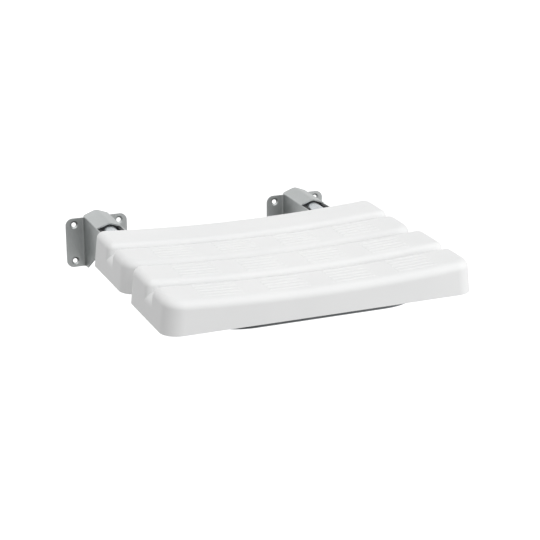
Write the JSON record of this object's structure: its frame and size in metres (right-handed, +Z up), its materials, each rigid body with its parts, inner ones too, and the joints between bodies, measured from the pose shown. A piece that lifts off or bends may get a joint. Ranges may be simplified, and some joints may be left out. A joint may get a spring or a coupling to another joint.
{
  "type": "wall-mounted folding shower seat",
  "caption": "Wall-mounted folding shower seat: slatted white moulded panels with a dished top on a bent tube frame, hinged in hooded wall brackets so that it folds up against the wall.",
  "frame": {"origin": "on the wall plane, in the middle of the rectangle of wall screw holes", "axes": "+X along the wall to the right as seen from the room, +Y into the wall, +Z up"},
  "size_m": [0.444, 0.489, 0.1077],
  "materials": {
    "bracket_steel": "satin grey",
    "tube_steel": "satin",
    "fastener_steel": "plain",
    "clip_steel": "plain",
    "white_plastic": "fine satin moulding",
    "black_nylon": "matt",
    "bush_nylon": "natural nylon"
  },
  "bodies": {
    "root": {"left_bracket": "bracket_steel", "left_liner": "black_nylon", "left_pivot_bolt": "fastener_steel", "left_pivot_nut": "fastener_steel", "left_pivot_washer": "fastener_steel", "right_bracket": "bracket_steel", "right_liner": "black_nylon", "right_pivot_bolt": "fastener_steel", "right_pivot_nut": "fastener_steel", "right_pivot_washer": "fastener_steel"},
    "seat": {"seat_frame": "tube_steel", "rear_seat_panel": "white_plastic", "front_seat_panel": "white_plastic", "left_pivot_sleeve": "fastener_steel", "left_outer_bush": "bush_nylon", "left_inner_bush": "bush_nylon", "left_end_plug": "black_nylon", "right_pivot_sleeve": "fastener_steel", "right_outer_bush": "bush_nylon", "right_inner_bush": "bush_nylon", "right_end_plug": "black_nylon", "rear_left_clip": "clip_steel", "rear_right_clip": "clip_steel", "rear_clip_screws": "fastener_steel", "front_left_clip": "clip_steel", "front_right_clip": "clip_steel", "front_clip_screws": "fastener_steel"}
  },
  "joints": [
    {"name": "seat_fold", "type": "hinge", "parent": "root", "child": "seat", "pos_m": [0, -0.104, 0.0297], "axis": [-1, 0, 0], "range_deg": [0, 98]}
  ]
}
